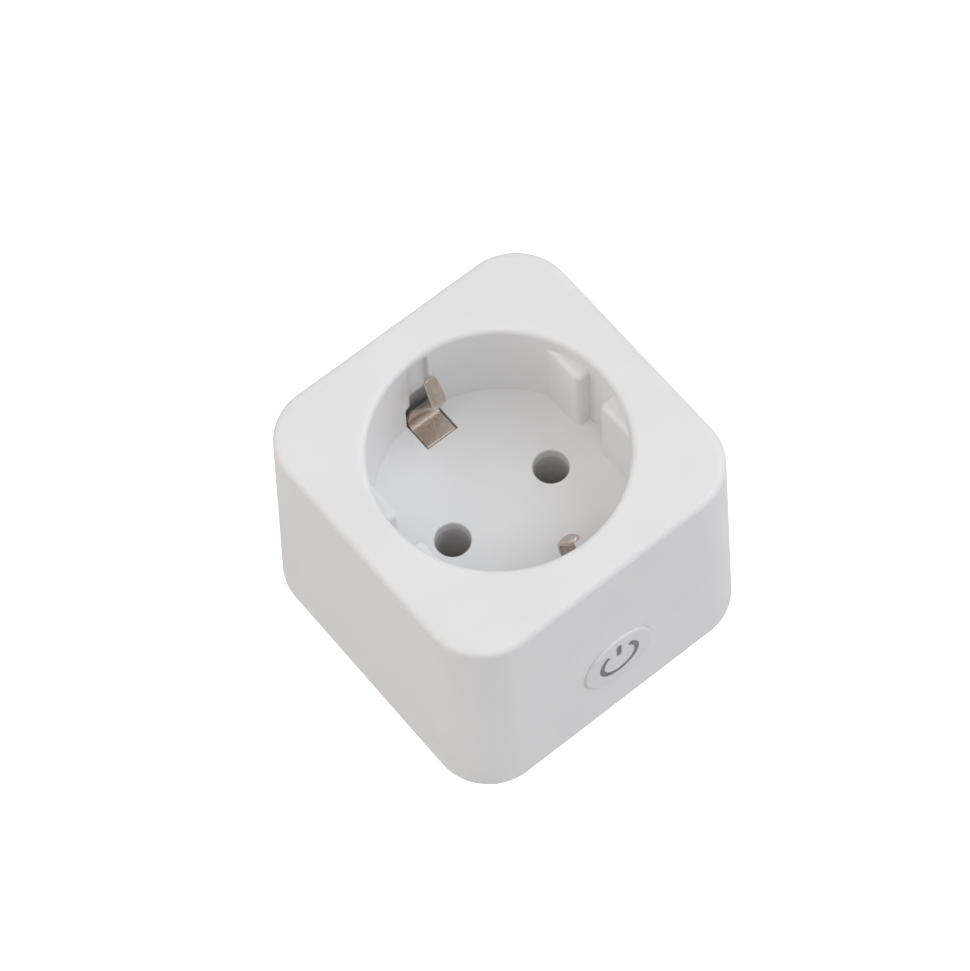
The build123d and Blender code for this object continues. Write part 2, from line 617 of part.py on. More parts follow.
with BuildPart() as tact_switch_plunger:
    with BuildSketch(Plane.XZ.offset(-PLUNGER_FRONT_Y)):
        with Locations((0, BUTTON_Z)):
            Circle(PLUNGER_R)
    extrude(amount=PLUNGER_FRONT_Y - SWITCH_FRONT_Y - 1.5)
    fillet(tact_switch_plunger.edges().group_by(Axis.Y)[0], 0.2)
save(tact_switch_plunger, "tact_switch_plunger")

SWITCH_BOARD_X = 11.0
SWITCH_BOARD_TOP = 23.0
LED_Z = (BUTTON_Z + 3.6, BUTTON_Z + 4.85)

with BuildPart() as button_board:
    board_y = (SWITCH_BOARD_Y - SWITCH_BOARD, SWITCH_BOARD_Y)
    slab((-SWITCH_BOARD_X, SWITCH_BOARD_X), board_y, (BOARD_TOP + 0.05, SWITCH_BOARD_TOP))
save(button_board, "button_board")

with BuildPart() as status_led:
    led_y = SWITCH_BOARD_Y - SWITCH_BOARD
    slab((-1, 1), (led_y - 0.8, led_y), LED_Z)
    fillet(status_led.faces().sort_by(Axis.Y)[0].edges(), 0.2)
save(status_led, "status_led")


# --- Boards and components ---

BOARD_CORNER = 9.0
BOARD_CLEAR = 0.2
RELAY_X = (-14.5, 14.5)
RELAY_Y = (9.0, 21.7)
RELAY_TOP = BOARD_TOP + 15.7
CASE = 0.8
RELAY_BASE = 2.0

# The main board: its corners are cut away for the screw bosses, and it is slotted where the pin
# straps and the earth link pass through.
with BuildPart() as main_board:
    with BuildSketch(Plane.XY.offset(BOARD_BOTTOM)):
        Rectangle(BOARD_SIZE, BOARD_SIZE)
        with Locations(*corners):
            Circle(BOSS_R + 0.6, mode=Mode.SUBTRACT)
        with GridLocations(BOARD_SIZE, BOARD_SIZE, 2, 2):
            Rectangle(BOARD_CORNER, BOARD_CORNER, mode=Mode.SUBTRACT)
        with GridLocations(2 * PIN_STRAP_X - STRAP, 0, 2, 1):
            strap_slot = (STRAP + 2 * BOARD_CLEAR, 2 * (PIN_STRAP_HALF + BOARD_CLEAR))
            Rectangle(*strap_slot, mode=Mode.SUBTRACT)
        with Locations((0, LINK_Y + STRIP / 2)):
            link_slot = (2 * (LINK_HALF + BOARD_CLEAR), STRIP + 2 * BOARD_CLEAR + 0.1)
            Rectangle(*link_slot, mode=Mode.SUBTRACT)
    extrude(amount=BOARD)
save(main_board, "main_board")

with BuildPart() as relay_cover:
    slab(RELAY_X, RELAY_Y, (BOARD_TOP + 0.5, RELAY_TOP))
    fillet(relay_cover.edges().filter_by(Axis.Z), 0.6)
    fillet(relay_cover.edges().group_by(Axis.Z)[-1], 0.4)
    inner_x = (RELAY_X[0] + CASE, RELAY_X[1] - CASE)
    inner_y = (RELAY_Y[0] + CASE, RELAY_Y[1] - CASE)
    slab(inner_x, inner_y, (BOARD_TOP, RELAY_TOP - CASE), mode=Mode.SUBTRACT)
save(relay_cover, "relay_cover")

with BuildPart() as relay_base:
    base_x = (inner_x[0] + 0.05, inner_x[1] - 0.05)
    base_y = (inner_y[0] + 0.05, inner_y[1] - 0.05)
    slab(base_x, base_y, (BOARD_TOP, BOARD_TOP + RELAY_BASE))
save(relay_base, "relay_base")

# The relay's magnet: a pole inside a wound bobbin, with an L yoke up its left side.
COIL = (-6.0, (RELAY_Y[0] + RELAY_Y[1]) / 2)
COIL_BOTTOM = BOARD_TOP + 3.0
COIL_TOP = BOARD_TOP + 11.0
BOBBIN_R = 4.9
BOBBIN_WALL = 0.6
BOBBIN_FLANGE = 0.8
WINDING_R = 4.5
POLE_R = 1.8
YOKE_X = (-12.6, -4.0)
YOKE = 1.0
YOKE_HALF = 4.0
ARMATURE_Z = COIL_TOP + 0.7
ARMATURE = 1.0
ARMATURE_HALF = 3.6

with BuildPart() as relay_bobbin:
    post(*COIL, BOBBIN_R, (COIL_BOTTOM, COIL_BOTTOM + BOBBIN_FLANGE))
    post(*COIL, BOBBIN_R, (COIL_TOP - BOBBIN_FLANGE, COIL_TOP))
    post(*COIL, POLE_R + BOBBIN_WALL, (COIL_BOTTOM, COIL_TOP))
    post(*COIL, POLE_R + FIT, (COIL_BOTTOM - 1, COIL_TOP + 1), mode=Mode.SUBTRACT)
save(relay_bobbin, "relay_bobbin")

with BuildPart() as relay_winding:
    post(*COIL, WINDING_R, (COIL_BOTTOM + BOBBIN_FLANGE + FIT, COIL_TOP - BOBBIN_FLANGE - FIT))
    fillet(relay_winding.edges().filter_by(GeomType.CIRCLE), 0.3)
    post(*COIL, POLE_R + BOBBIN_WALL + FIT, (COIL_BOTTOM, COIL_TOP), mode=Mode.SUBTRACT)
save(relay_winding, "relay_winding")

with BuildPart() as relay_core:
    post(*COIL, POLE_R, (BOARD_TOP + RELAY_BASE + YOKE, COIL_TOP + 0.3))
save(relay_core, "relay_core")

with BuildPart() as relay_yoke:
    yoke_y = (COIL[1] - YOKE_HALF, COIL[1] + YOKE_HALF)
    yoke_foot = BOARD_TOP + RELAY_BASE
    slab(YOKE_X, yoke_y, (yoke_foot, yoke_foot + YOKE))
    slab((YOKE_X[0], YOKE_X[0] + YOKE), yoke_y, (yoke_foot, ARMATURE_Z - 0.1))
save(relay_yoke, "relay_yoke")

# The armature rocks on the yoke; its spring carries the moving contact over the fixed one.
CONTACT_X = 8.5
CONTACT_R = 1.3
SPRING = 0.3
SPRING_HALF = 2.0
POST_HALF = 1.8

with BuildPart() as relay_armature:
    armature_y = (COIL[1] - ARMATURE_HALF, COIL[1] + ARMATURE_HALF)
    spring_y = (COIL[1] - SPRING_HALF, COIL[1] + SPRING_HALF)
    spring_z = (ARMATURE_Z + ARMATURE, ARMATURE_Z + ARMATURE + SPRING)
    slab((YOKE_X[0] + 0.2, COIL[0] + YOKE_HALF), armature_y, (ARMATURE_Z, spring_z[0]))
    slab((YOKE_X[1], CONTACT_X + SPRING_HALF), spring_y, spring_z)
    post(CONTACT_X, COIL[1], CONTACT_R, (ARMATURE_Z + 0.2, spring_z[1] + SPRING))
save(relay_armature, "relay_armature")

with BuildPart() as relay_fixed_contact:
    anvil_z = (ARMATURE_Z - 2.4, ARMATURE_Z - 1.6)
    slab((CONTACT_X - POST_HALF, CONTACT_X + POST_HALF), spring_y, anvil_z)
    post(CONTACT_X, COIL[1], CONTACT_R, (anvil_z[1], ARMATURE_Z - 0.75))
    post_x = (CONTACT_X + POST_HALF - STRAP, CONTACT_X + POST_HALF)
    slab(post_x, spring_y, (BOARD_TOP + RELAY_BASE, anvil_z[1]))
save(relay_fixed_contact, "relay_fixed_contact")


# Components standing on the board: where each is, and how far it reaches above the board's top.
LEAD_GAP = 0.1
CAN_GROOVE = (1.4, 2.0)
FILM_CAPACITOR = ((17.4, 23.2), (-6.5, 6.5), 11.5)
VARISTOR = ((18.6, 22.2), -12.4, 6.0)
VARISTOR_R = 5.0
RECTIFIER = ((-4.2, 0.6), (-12.2, -8.2), 1.7)
CONTROLLER = ((3.6, 8.6), (-12.2, -8.3), 1.6)
RESISTOR_AT = (13.2, -10.5)
RESISTOR_R = 1.6
RESISTOR_LENGTH = 9.0


def capacitor(x, y, radius, height, name):
    """A radial electrolytic capacitor: a can with a rolled groove near its foot."""
    with BuildPart() as can:
        post(x, y, radius, (BOARD_TOP + LEAD_GAP, BOARD_TOP + height))
        fillet(can.edges().group_by(Axis.Z)[-1], 0.5)
        groove_z = (BOARD_TOP + CAN_GROOVE[0], BOARD_TOP + CAN_GROOVE[1])
        post(x, y, radius + 1, groove_z, mode=Mode.SUBTRACT)
        post(x, y, radius - 0.35, groove_z)
    save(can, name)


def drum_core(x, y, radius, flange, height, name):
    """The bobbin-shaped ferrite of an inductor, wound between its two flanges."""
    with BuildPart() as drum:
        foot = BOARD_TOP + LEAD_GAP
        top = BOARD_TOP + height
        post(x, y, radius, (foot, foot + flange))
        post(x, y, radius - 0.9, (foot + flange, top - flange))
        post(x, y, radius, (top - flange, top))
    save(drum, name)


def chip(x_range, y_range, top, name):
    """A moulded chip package with its upper edges drafted."""
    with BuildPart() as package:
        slab(x_range, y_range, (BOARD_TOP + LEAD_GAP, BOARD_TOP + top))
        chamfer(package.edges().group_by(Axis.Z)[-1], 0.25)
    save(package, name)


capacitor(-20.0, 8.5, 4.0, 12.0, "input_capacitor")
capacitor(-20.3, -2.0, 3.15, 11.0, "output_capacitor")
drum_core(20.0, 12.2, 3.9, 1.5, 9.5, "filter_choke")
drum_core(-10.0, -10.2, 3.6, 1.2, 7.4, "buck_inductor")
chip(*RECTIFIER, "bridge_rectifier")
chip(*CONTROLLER, "power_controller")

with BuildPart() as film_capacitor:
    film_x, film_y, film_top = FILM_CAPACITOR
    slab(film_x, film_y, (BOARD_TOP + LEAD_GAP, BOARD_TOP + film_top))
    fillet(film_capacitor.edges().filter_by(Axis.Z), 0.6)
    fillet(film_capacitor.edges().group_by(Axis.Z)[-1], 0.6)
save(film_capacitor, "film_capacitor")

with BuildPart() as varistor:
    disc_x, disc_y, disc_height = VARISTOR
    with BuildSketch(Plane.YZ.offset(disc_x[0])):
        with Locations((disc_y, BOARD_TOP + disc_height)):
            Circle(VARISTOR_R)
    extrude(amount=disc_x[1] - disc_x[0])
    fillet(varistor.edges().filter_by(GeomType.CIRCLE), 1.2)
save(varistor, "varistor")

with BuildPart() as fusible_resistor:
    resistor_z = (BOARD_TOP + 0.6, BOARD_TOP + 0.6 + RESISTOR_LENGTH)
    post(*RESISTOR_AT, RESISTOR_R, resistor_z)
    fillet(fusible_resistor.edges(), 0.6)
save(fusible_resistor, "fusible_resistor")

WIFI_Y = -16.6
WIFI_BOARD = 0.8
WIFI_X = 12.0
WIFI_HEIGHT = 16.0
SHIELD_X = (-10.5, 5.0)
SHIELD_Z = (3.4, 14.8)
SHIELD = 2.0
HEADER_X = 8.0
HEADER_HEIGHT = 2.5

with BuildPart() as wifi_board:
    wifi_back_y = WIFI_Y - WIFI_BOARD
    slab((-WIFI_X, WIFI_X), (wifi_back_y, WIFI_Y), (BOARD_TOP + 0.05, BOARD_TOP + WIFI_HEIGHT))
save(wifi_board, "wifi_board")

with BuildPart() as wifi_shield:
    shield_z = (BOARD_TOP + SHIELD_Z[0], BOARD_TOP + SHIELD_Z[1])
    slab(SHIELD_X, (WIFI_Y, WIFI_Y + SHIELD), shield_z)
    fillet(wifi_shield.edges().filter_by(Axis.Y), 0.6)
save(wifi_shield, "wifi_shield")

with BuildPart() as board_header:
    header_y = (SWITCH_BOARD_Y + FIT, wifi_back_y - FIT)
    slab((-HEADER_X, HEADER_X), header_y, (BOARD_TOP, BOARD_TOP + HEADER_HEIGHT))
save(board_header, "board_header")
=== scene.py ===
import json
import math

import bmesh
import bpy
from mathutils import Matrix, Vector


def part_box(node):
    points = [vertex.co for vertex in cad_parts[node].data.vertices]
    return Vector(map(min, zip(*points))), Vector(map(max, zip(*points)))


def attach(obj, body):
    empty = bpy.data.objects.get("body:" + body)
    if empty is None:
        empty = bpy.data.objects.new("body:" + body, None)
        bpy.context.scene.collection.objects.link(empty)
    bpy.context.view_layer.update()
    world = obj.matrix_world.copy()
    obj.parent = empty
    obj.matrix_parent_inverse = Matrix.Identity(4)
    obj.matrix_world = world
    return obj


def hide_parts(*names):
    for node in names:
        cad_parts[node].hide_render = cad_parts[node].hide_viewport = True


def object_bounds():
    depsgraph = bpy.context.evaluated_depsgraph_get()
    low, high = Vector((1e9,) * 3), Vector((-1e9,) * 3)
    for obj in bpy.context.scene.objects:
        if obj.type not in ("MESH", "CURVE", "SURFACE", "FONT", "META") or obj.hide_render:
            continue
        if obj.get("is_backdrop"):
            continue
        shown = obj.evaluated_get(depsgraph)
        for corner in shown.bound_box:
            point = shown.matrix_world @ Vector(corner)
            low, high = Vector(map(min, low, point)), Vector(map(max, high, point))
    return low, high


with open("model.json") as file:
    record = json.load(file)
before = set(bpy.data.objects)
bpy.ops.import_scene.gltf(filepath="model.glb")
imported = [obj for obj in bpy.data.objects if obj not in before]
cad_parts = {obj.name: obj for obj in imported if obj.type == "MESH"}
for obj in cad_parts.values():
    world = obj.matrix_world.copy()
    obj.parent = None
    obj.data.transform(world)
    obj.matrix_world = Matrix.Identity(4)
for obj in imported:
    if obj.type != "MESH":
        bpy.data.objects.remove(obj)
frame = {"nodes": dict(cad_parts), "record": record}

# Driving values, taken from the frame. Lengths here are metres; pieces are drawn in millimetres.
CAD_LOW, CAD_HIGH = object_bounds()
MM = 0.001
FRONT_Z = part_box("front_housing")[1].z
FLOOR_GAP = 3 * MM
FLOOR_Z = CAD_LOW.z - FLOOR_GAP


# ---------------------------------------------------------------- node helpers

class Shader:
    """A material under construction: a Principled shader and short ways to add nodes to it."""

    def __init__(self, name):
        self.material = bpy.data.materials.new(name)
        self.material.use_nodes = True
        self.tree = self.material.node_tree
        self.bsdf = self.tree.nodes["Principled BSDF"]
        self.coords = self.add("ShaderNodeTexCoord").outputs["Object"]

    def add(self, kind, **settings):
        node = self.tree.nodes.new(kind)
        for key, value in settings.items():
            setattr(node, key, value)
        return node

    def link(self, source, target):
        self.tree.links.new(source, target)

    def set(self, **inputs):
        for key, value in inputs.items():
            self.bsdf.inputs[key.replace("_", " ")].default_value = value

    def stretched(self, stretch):
        """Object coordinates scaled along each axis, for streaks and brush marks."""
        mapping = self.add("ShaderNodeMapping")
        mapping.inputs["Scale"].default_value = stretch
        self.link(self.coords, mapping.inputs["Vector"])
        return mapping.outputs["Vector"]

    def noise(self, feature_mm, detail=3.0, stretch=None):
        """Noise whose features are about feature_mm across."""
        node = self.add("ShaderNodeTexNoise")
        node.inputs["Scale"].default_value = 1.0 / (feature_mm * MM)
        node.inputs["Detail"].default_value = detail
        self.link(self.stretched(stretch) if stretch else self.coords, node.inputs["Vector"])
        return node.outputs["Fac"]

    def remap(self, value, low, high, from_low=0.3, from_high=0.7):
        node = self.add("ShaderNodeMapRange")
        node.inputs["From Min"].default_value = from_low
        node.inputs["From Max"].default_value = from_high
        node.inputs["To Min"].default_value = low
        node.inputs["To Max"].default_value = high
        self.link(value, node.inputs["Value"])
        return node.outputs["Result"]

    def mix(self, factor, first, second):
        """A colour between two; each is a socket or an RGB tuple."""
        node = self.add("ShaderNodeMix", data_type="RGBA")
        for socket, value in ((node.inputs[6], first), (node.inputs[7], second)):
            if isinstance(value, tuple):
                socket.default_value = (*value, 1.0)
            else:
                self.link(value, socket)
        self.link(factor, node.inputs[0])
        return node.outputs[2]

    def edge_mask(self, radius_mm):
        """1 on convex and concave edges, 0 on flats, from a rounded normal against the true one."""
        bevel = self.add("ShaderNodeBevel", samples=4)
        bevel.inputs["Radius"].default_value = radius_mm * MM
        true_normal = self.add("ShaderNodeNewGeometry").outputs["Normal"]
        dot = self.add("ShaderNodeVectorMath", operation="DOT_PRODUCT")
        self.link(bevel.outputs["Normal"], dot.inputs[0])
        self.link(true_normal, dot.inputs[1])
        return self.remap(dot.outputs["Value"], 1.0, 0.0, 0.8, 0.995)

    def rounded_normal(self, radius_mm):
        bevel = self.add("ShaderNodeBevel", samples=4)
        bevel.inputs["Radius"].default_value = radius_mm * MM
        return bevel.outputs["Normal"]

    def bump(self, heights, normal=None):
        """Stack bumps, each (height socket, depth in micrometres), on the surface."""
        for height, depth_um in heights:
            node = self.add("ShaderNodeBump")
            node.inputs["Strength"].default_value = 1.0
            node.inputs["Distance"].default_value = depth_um * 1e-6
            self.link(height, node.inputs["Height"])
            if normal is not None:
                self.link(normal, node.inputs["Normal"])
            normal = node.outputs["Normal"]
        self.link(normal, self.bsdf.inputs["Normal"])


def moulded_plastic(name, colour, roughness=0.38, grain_um=3.0, edge_mm=0.12, translucent=0.0):
    """Injection-moulded plastic: spark-eroded grain, slow colour drift, handled edges."""
    s = Shader(name)
    darker = tuple(c * 0.975 for c in colour)
    lighter = tuple(min(1.0, c * 1.015) for c in colour)
    drift = s.remap(s.noise(14.0, detail=2.0), 0.0, 1.0)
    base = s.mix(drift, darker, lighter)
    speck = s.remap(s.noise(0.9, detail=4.0), 0.0, 0.12, 0.55, 0.8)
    base = s.mix(speck, base, tuple(c * 0.93 for c in colour))
    edge = s.edge_mask(edge_mm)
    edge_share = s.add("ShaderNodeMath", operation="MULTIPLY")
    s.link(edge, edge_share.inputs[0])
    s.link(s.remap(s.noise(2.5), 0.1, 0.5), edge_share.inputs[1])
    base = s.mix(edge_share.outputs["Value"], base, tuple(min(1.0, c * 1.06) for c in colour))
    s.link(base, s.bsdf.inputs["Base Color"])
    s.link(s.remap(s.noise(3.0), roughness - 0.05, roughness + 0.06), s.bsdf.inputs["Roughness"])
    s.bump([(s.noise(0.16, detail=2.0), grain_um), (s.noise(6.0), grain_um * 2)], s.rounded_normal(edge_mm))
    s.set(IOR=1.5)
    if translucent:
        s.set(Subsurface_Weight=translucent, Subsurface_Scale=0.0012)
        s.bsdf.inputs["Subsurface Radius"].default_value = (1.0, 0.9, 0.8)
    return s.material


def sheet_metal(name, colour, roughness=0.3, brush=(1.0, 1.0, 12.0), tarnish=0.25, scratch_um=1.2,
                edge_mm=0.08, metallic=1.0, painted_light_below=None):
    """Stamped or plated metal: rolling marks, tarnish in patches, bright worn edges.

    The last argument, if given, is a colour and two heights in millimetres: painted light, the metal
    painted that pale lit colour below the first height and fading out up to the second.
    """
    s = Shader(name)
    streak = s.noise(0.5, detail=2.0, stretch=brush)
    patch = s.remap(s.noise(1.6, detail=1.0), 0.0, tarnish, 0.3, 0.8)
    dull = tuple(c * 0.62 for c in colour)
    bright = tuple(min(1.0, c * 1.18) for c in colour)
    base = s.mix(patch, colour, dull)
    base = s.mix(s.remap(streak, 0.0, 0.22), base, bright)
    # Painted light: below the given height the metal is painted a pale lit colour, fading out upward.
    if painted_light_below:
        lit_colour, low, high = painted_light_below
        height = s.add("ShaderNodeSeparateXYZ")
        s.link(s.coords, height.inputs[0])
        base = s.mix(s.remap(height.outputs["Z"], 1.0, 0.0, low * MM, high * MM), base, lit_colour)
    edge = s.edge_mask(edge_mm)
    edge_share = s.add("ShaderNodeMath", operation="MULTIPLY")
    s.link(edge, edge_share.inputs[0])
    s.link(s.remap(s.noise(0.8), 0.2, 0.9), edge_share.inputs[1])
    base = s.mix(edge_share.outputs["Value"], base, bright)
    s.link(base, s.bsdf.inputs["Base Color"])
    s.link(s.remap(streak, roughness - 0.08, roughness + 0.14), s.bsdf.inputs["Roughness"])
    s.set(Metallic=metallic)
    s.bump([(streak, scratch_um), (s.noise(0.35, detail=1.0), scratch_um)], s.rounded_normal(edge_mm))
    return s.material


def glossy_coat(name, colour, roughness=0.22, wave_um=6.0, wave_mm=1.5):
    """Dipped, moulded or sleeved component surface: smooth, slightly wavy, slightly uneven in tone."""
    s = Shader(name)
    tone = s.remap(s.noise(2.0, detail=4.0), 0.0, 1.0)
    base = s.mix(tone, tuple(c * 0.82 for c in colour), tuple(min(1.0, c * 1.12) for c in colour))
    s.link(base, s.bsdf.inputs["Base Color"])
    s.link(s.remap(s.noise(0.7), roughness - 0.05, roughness + 0.1), s.bsdf.inputs["Roughness"])
    s.bump([(s.noise(wave_mm), wave_um), (s.noise(0.12), 1.0)], s.rounded_normal(0.1))
    return s.material


def circuit_board(name, colour):
    """Solder mask over copper: pale tracks and pours show through the lacquer."""
    s = Shader(name)
    tracks = s.add("ShaderNodeTexVoronoi", feature="DISTANCE_TO_EDGE")
    tracks.inputs["Scale"].default_value = 1.0 / (2.6 * MM)
    tracks.inputs["Randomness"].default_value = 0.25
    s.link(s.coords, tracks.inputs["Vector"])
    over_track = s.remap(tracks.outputs["Distance"], 1.0, 0.0, 0.08, 0.14)
    lacquer = s.mix(s.remap(s.noise(5.0), 0.0, 1.0), tuple(c * 0.85 for c in colour), colour)
    base = s.mix(over_track, lacquer, tuple(min(1.0, c * 1.7 + 0.01) for c in colour))
    s.link(base, s.bsdf.inputs["Base Color"])
    s.link(s.remap(s.noise(0.8), 0.22, 0.36), s.bsdf.inputs["Roughness"])
    s.bump([(over_track, 18.0), (s.noise(0.2), 2.0)], s.rounded_normal(0.1))
    return s.material


def enamelled_wire(name, colour):
    """Close-wound enamelled copper: fine turns across the axis."""
    s = Shader(name)
    wave = s.add("ShaderNodeTexWave", wave_type="BANDS", bands_direction="Z", wave_profile="SIN")
    wave.inputs["Scale"].default_value = 1.0 / (0.4 * MM)
    wave.inputs["Distortion"].default_value = 0.6
    s.link(s.coords, wave.inputs["Vector"])
    base = s.mix(wave.outputs["Fac"], tuple(c * 0.45 for c in colour), colour)
    s.link(base, s.bsdf.inputs["Base Color"])
    s.link(s.remap(s.noise(1.0), 0.22, 0.4), s.bsdf.inputs["Roughness"])
    s.set(Metallic=0.85)
    s.bump([(wave.outputs["Fac"], 60.0), (s.noise(0.5), 4.0)])
    return s.material


# ---------------------------------------------------------------- materials of the record's slots

MATERIALS = {
    # Housing and button
    "white_plastic": moulded_plastic("white_plastic", (0.93, 0.93, 0.93), translucent=0.06),
    "button_plastic": moulded_plastic(
        "button_plastic", (0.885, 0.885, 0.89), roughness=0.42, translucent=0.06),
    "symbol_grey": glossy_coat("symbol_grey", (0.20, 0.20, 0.205), roughness=0.3, wave_um=2.0),
    # Sheet metal, pins and screws
    "nickel_plate": sheet_metal("nickel_plate", (0.74, 0.70, 0.64), roughness=0.2, tarnish=0.12),
    "zinc_steel": sheet_metal("zinc_steel", (0.62, 0.64, 0.66), roughness=0.3),
    "nickel_silver": sheet_metal(
        "nickel_silver", (0.62, 0.53, 0.45), roughness=0.3, tarnish=0.2, metallic=0.85),
    # Contact sleeves: painted light, the deeper part of the bore painted near white where light falls down
    # the socket holes.
    "tinned_bronze": sheet_metal(
        "tinned_bronze", (0.66, 0.61, 0.62), roughness=0.55, tarnish=0.15, metallic=0.1,
        painted_light_below=((0.97, 0.96, 0.93), 16.5, 22.0)),
    "tinned_steel": sheet_metal("tinned_steel", (0.70, 0.71, 0.72), roughness=0.3, brush=(12.0, 1.0, 1.0)),
    "brass": sheet_metal("brass", (0.75, 0.56, 0.27), roughness=0.28),
    # Boards and components
    "copper": enamelled_wire("copper", (0.62, 0.27, 0.13)),
    "black_plastic": moulded_plastic("black_plastic", (0.03, 0.03, 0.033), roughness=0.45),
    "board_green": circuit_board("board_green", (0.015, 0.13, 0.05)),
    "relay_plastic": glossy_coat("relay_plastic", (0.03, 0.05, 0.11), roughness=0.3),
    "capacitor_sleeve": glossy_coat("capacitor_sleeve", (0.04, 0.05, 0.08)),
    "film_yellow": glossy_coat("film_yellow", (0.68, 0.45, 0.05), roughness=0.35),
    "epoxy_blue": glossy_coat("epoxy_blue", (0.03, 0.09, 0.30), wave_um=20.0),
    "ferrite": moulded_plastic("ferrite", (0.045, 0.043, 0.042), roughness=0.5, grain_um=8.0),
    "resistor_body": glossy_coat("resistor_body", (0.20, 0.36, 0.28), roughness=0.45, wave_um=10.0),
    "led_clear": glossy_coat("led_clear", (0.75, 0.75, 0.68), roughness=0.15),
}

for subpart in frame["record"]["subparts"]:
    node = frame["nodes"][subpart["node"]]
    node.data.materials.clear()
    node.data.materials.append(MATERIALS[subpart["material_slot"]])
    for polygon in node.data.polygons:
        polygon.material_index = 0


# ---------------------------------------------------------------- pieces built as meshes

class Shape:
    """Vertices and faces gathered in millimetres of the row frame, then turned into one named piece."""

    def __init__(self):
        self.points = []
        self.faces = []

    def rings(self, rings, closed_path=False):
        """Skin a run of rings of equally many points: capped at both ends, or joined end to end."""
        start, count = len(self.points), len(rings[0])
        for ring in rings:
            self.points.extend(ring)
        last = len(rings) if closed_path else len(rings) - 1
        for i in range(last):
            a, b = start + i * count, start + (i + 1) % len(rings) * count
            for k in range(count):
                n = (k + 1) % count
                self.faces.append((a + k, a + n, b + n, b + k))
        if not closed_path:
            self.faces.append(tuple(start + k for k in reversed(range(count))))
            self.faces.append(tuple(start + (len(rings) - 1) * count + k for k in range(count)))

    def lathe(self, profile, centre, axis="z", sides=24):
        """A profile of (radius, height) turned round an axis through centre."""
        rings = []
        for radius, height in profile:
            ring = []
            for k in range(sides):
                turn = 2 * math.pi * k / sides
                u, v = radius * math.cos(turn), radius * math.sin(turn)
                offset = {"x": (height, u, v), "y": (v, height, u), "z": (u, v, height)}[axis]
                ring.append(tuple(c + o for c, o in zip(centre, offset)))
            rings.append(ring)
        self.rings(rings)

    def hoop(self, outline, centre, axis=(0, 0, 1), sides=48):
        """A closed outline of (radius, height) turned into a ring round an axis through centre."""
        along = Vector(axis).normalized()
        across = along.orthogonal().normalized()
        up = along.cross(across)
        rings = []
        for k in range(sides):
            turn = 2 * math.pi * k / sides
            out = across * math.cos(turn) + up * math.sin(turn)
            rings.append([tuple(Vector(centre) + out * r + along * h) for r, h in outline])
        self.rings(rings, closed_path=True)

    def wire(self, path, half_wide, half_thick=None, wide_along=None, sides=8):
        """A wire along a path: round, or flattened, its half width measured along wide_along."""
        points = [Vector(p) for p in path]
        half_thick = half_thick or half_wide
        side = Vector(wide_along) if wide_along else (points[1] - points[0]).orthogonal()
        rings = []
        for i, point in enumerate(points):
            along = (points[min(i + 1, len(points) - 1)] - points[max(i - 1, 0)]).normalized()
            side = (side - along * side.dot(along)).normalized()
            up = along.cross(side)
            ring = []
            for k in range(sides):
                turn = 2 * math.pi * (k + 0.5) / sides
                across = side * half_wide * math.cos(turn)
                ring.append(tuple(point + across + up * half_thick * math.sin(turn)))
            rings.append(ring)
        self.rings(rings)

    def block(self, low, high, edge):
        """A block with rounded corners seen from above and softened top and bottom edges."""
        centre = [(a + b) / 2 for a, b in zip(low, high)]
        half = [(b - a) / 2 for a, b in zip(low, high)]
        rings = []
        for inset, height in ((edge, low[2]), (0.0, low[2] + edge), (0.0, high[2] - edge), (edge, high[2])):
            ring = []
            for k in range(16):
                corner, step = divmod(k, 4)
                turn = math.pi / 2 * (corner + step / 3)
                sx, sy = ((1, 1), (-1, 1), (-1, -1), (1, -1))[corner]
                x = centre[0] + sx * (half[0] - edge - inset) + edge * math.cos(turn)
                y = centre[1] + sy * (half[1] - edge - inset) + edge * math.sin(turn)
                ring.append((x, y, height))
            rings.append(ring)
        self.rings(rings)

    def piece(self, name, body, slot, sharp_deg=35.0):
        """Make the Blender object, finish it with the record's slot and let it ride on a CAD body."""
        mesh = bpy.data.meshes.new(name)
        mesh.from_pydata([tuple(c * MM for c in p) for p in self.points], [], self.faces)
        faces_out = bmesh.new()
        faces_out.from_mesh(mesh)
        bmesh.ops.recalc_face_normals(faces_out, faces=faces_out.faces)
        faces_out.to_mesh(mesh)
        faces_out.free()
        mesh.shade_smooth()
        mesh.set_sharp_from_angle(angle=math.radians(sharp_deg))
        mesh.materials.append(MATERIALS[slot])
        made = bpy.data.objects.new(name, mesh)
        bpy.context.scene.collection.objects.link(made)
        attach(made, body)
        return made


ARC_PARTS = 8


def filleted(points, radii, step):
    """Points at most step apart along straight runs, with an arc at each inner point."""
    points = [Vector(p) for p in points]
    bent = [points[0]]
    for before, corner, after, radius in zip(points, points[1:], points[2:], radii):
        into, out = (corner - before).normalized(), (after - corner).normalized()
        angle = into.angle(out)
        start = corner - into * radius * math.tan(angle / 2)
        normal = (out - into * out.dot(into)).normalized()
        for k in range(ARC_PARTS + 1):
            turn = angle * k / ARC_PARTS
            ahead = into * (radius * math.sin(turn))
            bent.append(start + ahead + normal * (radius * (1 - math.cos(turn))))
    bent.append(points[-1])
    path = [bent[0]]
    for a, b in zip(bent, bent[1:]):
        parts = max(1, math.ceil((b - a).length / step))
        path.extend(a.lerp(b, k / parts) for k in range(1, parts + 1))
    return path


def interpolate(table, at):
    """A value read off a table of (position, value) rows, straight between rows."""
    for (x0, y0), (x1, y1) in zip(table, table[1:]):
        if at <= x1:
            return y0 + (y1 - y0) * max(0.0, (at - x0) / (x1 - x0))
    return table[-1][1]


